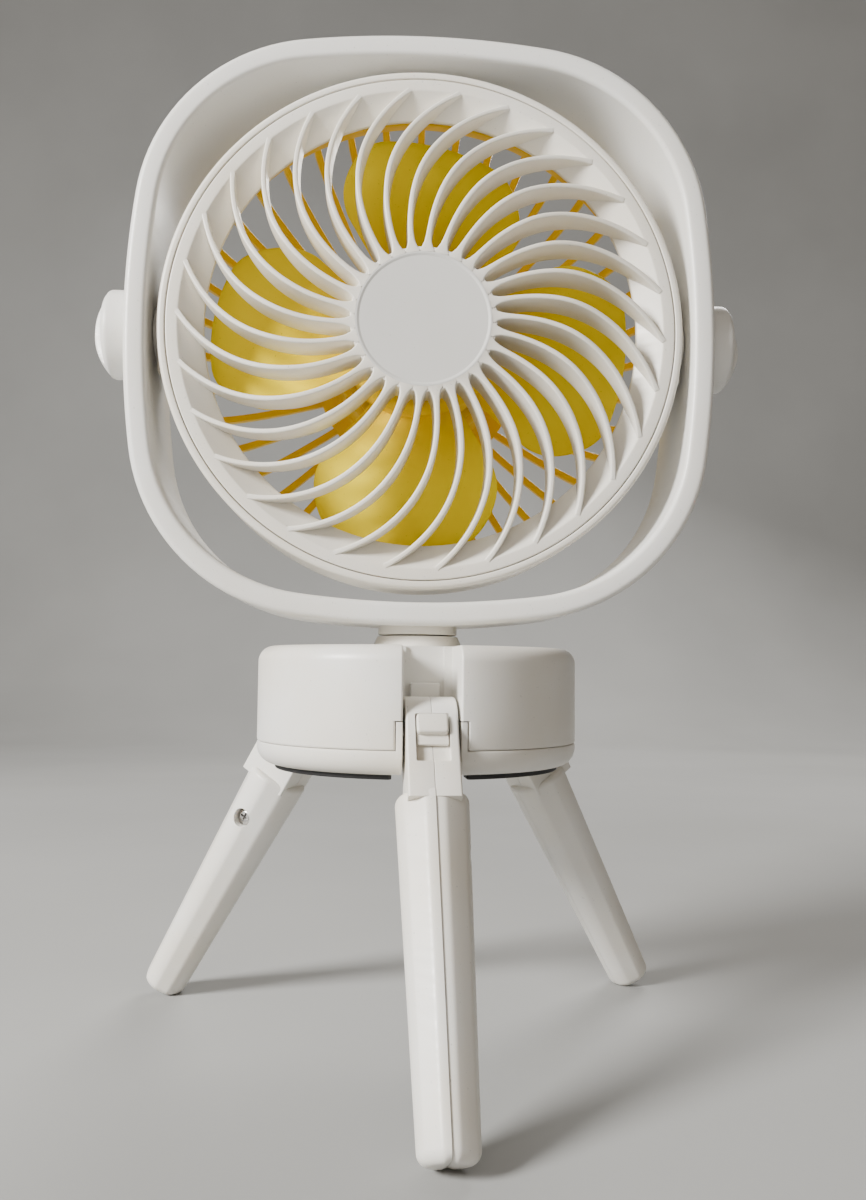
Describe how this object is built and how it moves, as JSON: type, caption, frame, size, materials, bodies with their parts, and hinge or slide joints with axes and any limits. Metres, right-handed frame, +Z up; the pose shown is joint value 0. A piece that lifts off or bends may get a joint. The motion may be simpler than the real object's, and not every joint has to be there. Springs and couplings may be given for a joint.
{
  "type": "portable tripod fan",
  "caption": "Small battery fan: a round guarded head tilting in a rounded square yoke, swivelling on a drum base with folding tripod legs that close into a handle.",
  "frame": {"origin": "on the ground under the swivel axis, with the three feet standing on the plane z = 0", "axes": "+Z up along the swivel axis, the fan blows towards -Y, the tilt axis runs along X"},
  "size_m": [0.1758, 0.1359, 0.264],
  "materials": {
    "yoke_white": "satin",
    "head_white": "satin",
    "hub_grey": "matte",
    "knob_white": "satin",
    "guard_yellow": "satin",
    "cover_yellow": "satin",
    "blade_yellow": "satin",
    "neck_white": "satin",
    "base_white": "satin",
    "leg_white": "satin",
    "latch_white": "satin",
    "button_white": "satin",
    "pad_black": "matte",
    "screw_steel": "plain",
    "washer_nylon": "matte",
    "bush_brass": "plain",
    "motor_plastic": "matte",
    "bearing_steel": "polished",
    "core_steel": "laminated",
    "coil_copper": "lacquered",
    "magnet_dark": "plain",
    "board_green": "matte",
    "cell_wrap": "film",
    "port_steel": "plain",
    "light_lens": "frosted"
  },
  "bodies": {
    "base": {"base_shell": "base_white", "base_cover": "base_white", "rubber_pads": "pad_black", "bottom_screws": "screw_steel", "hinge_pins": "screw_steel", "swivel_flange": "neck_white", "battery_cell": "cell_wrap", "control_board": "board_green", "usb_socket": "port_steel", "button_switch": "motor_plastic", "charge_light": "light_lens"},
    "yoke": {"yoke_front_shell": "yoke_white", "yoke_back_cover": "yoke_white", "pivot_bushes": "bush_brass", "friction_washers": "washer_nylon", "swivel_collar": "neck_white", "swivel_bolt": "screw_steel", "swivel_washer": "washer_nylon"},
    "head": {"head_housing": "head_white", "front_guard": "head_white", "hub_cap": "hub_grey", "rear_guard": "guard_yellow", "motor_cover": "cover_yellow", "tilt_screws": "screw_steel", "tilt_knob_left": "knob_white", "tilt_knob_right": "knob_white", "motor_base": "guard_yellow", "motor_bearings": "bearing_steel", "stator_core": "core_steel", "stator_coils": "coil_copper", "motor_board": "board_green", "motor_screws": "screw_steel"},
    "rotor": {"fan_impeller": "blade_yellow", "rotor_bell": "core_steel", "magnet_ring": "magnet_dark", "motor_shaft": "bearing_steel"},
    "button": {"power_button": "button_white"},
    "leg_front": {"leg_front_half_left": "leg_white", "leg_front_half_right": "leg_white", "leg_front_screw": "screw_steel"},
    "leg_front_catch": {"leg_front_latch": "latch_white"},
    "leg_right": {"leg_right_half_left": "leg_white", "leg_right_half_right": "leg_white", "leg_right_screw": "screw_steel"},
    "leg_right_catch": {"leg_right_latch": "latch_white"},
    "leg_left": {"leg_left_half_left": "leg_white", "leg_left_half_right": "leg_white", "leg_left_screw": "screw_steel"},
    "leg_left_catch": {"leg_left_latch": "latch_white"}
  },
  "joints": [
    {"name": "yoke_swivel", "type": "hinge", "parent": "base", "child": "yoke", "pos_m": [0, 0, 0.1046], "axis": [0, 0, 1], "range_deg": [-170, 170]},
    {"name": "head_tilt", "type": "hinge", "parent": "yoke", "child": "head", "pos_m": [0, 0, 0.1855], "axis": [1, 0, 0], "range_deg": [-90, 90]},
    {"name": "fan_spin", "type": "hinge", "parent": "head", "child": "rotor", "pos_m": [0, 0, 0.1855], "axis": [0, -1, 0], "continuous": true},
    {"name": "leg_front_fold", "type": "hinge", "parent": "base", "child": "leg_front", "pos_m": [0.00176, -0.03365, 0.08063], "axis": [0.9986, 0.0523, 0], "range_deg": [0, 48]},
    {"name": "leg_right_fold", "type": "hinge", "parent": "base", "child": "leg_right", "pos_m": [0.02826, 0.01835, 0.08063], "axis": [-0.5446, 0.8387, 0], "range_deg": [0, 48]},
    {"name": "leg_left_fold", "type": "hinge", "parent": "base", "child": "leg_left", "pos_m": [-0.03003, 0.0153, 0.08063], "axis": [-0.454, -0.891, 0], "range_deg": [0, 48]},
    {"name": "leg_front_release", "type": "slide", "parent": "leg_front", "child": "leg_front_catch", "axis": [0.0273, -0.5218, -0.8526], "range_m": [0, 0.004], "stiffness_N_per_m": 150, "springref_m": -0.002},
    {"name": "leg_right_release", "type": "slide", "parent": "leg_right", "child": "leg_right_catch", "axis": [0.4382, 0.2846, -0.8526], "range_m": [0, 0.004], "stiffness_N_per_m": 150, "springref_m": -0.002},
    {"name": "leg_left_release", "type": "slide", "parent": "leg_left", "child": "leg_left_catch", "axis": [-0.4656, 0.2372, -0.8526], "range_m": [0, 0.004], "stiffness_N_per_m": 150, "springref_m": -0.002},
    {"name": "button_press", "type": "slide", "parent": "base", "child": "button", "axis": [0.0523, -0.9986, 0], "range_m": [0, 0.0009], "stiffness_N_per_m": 600, "springref_m": -0.001}
  ]
}
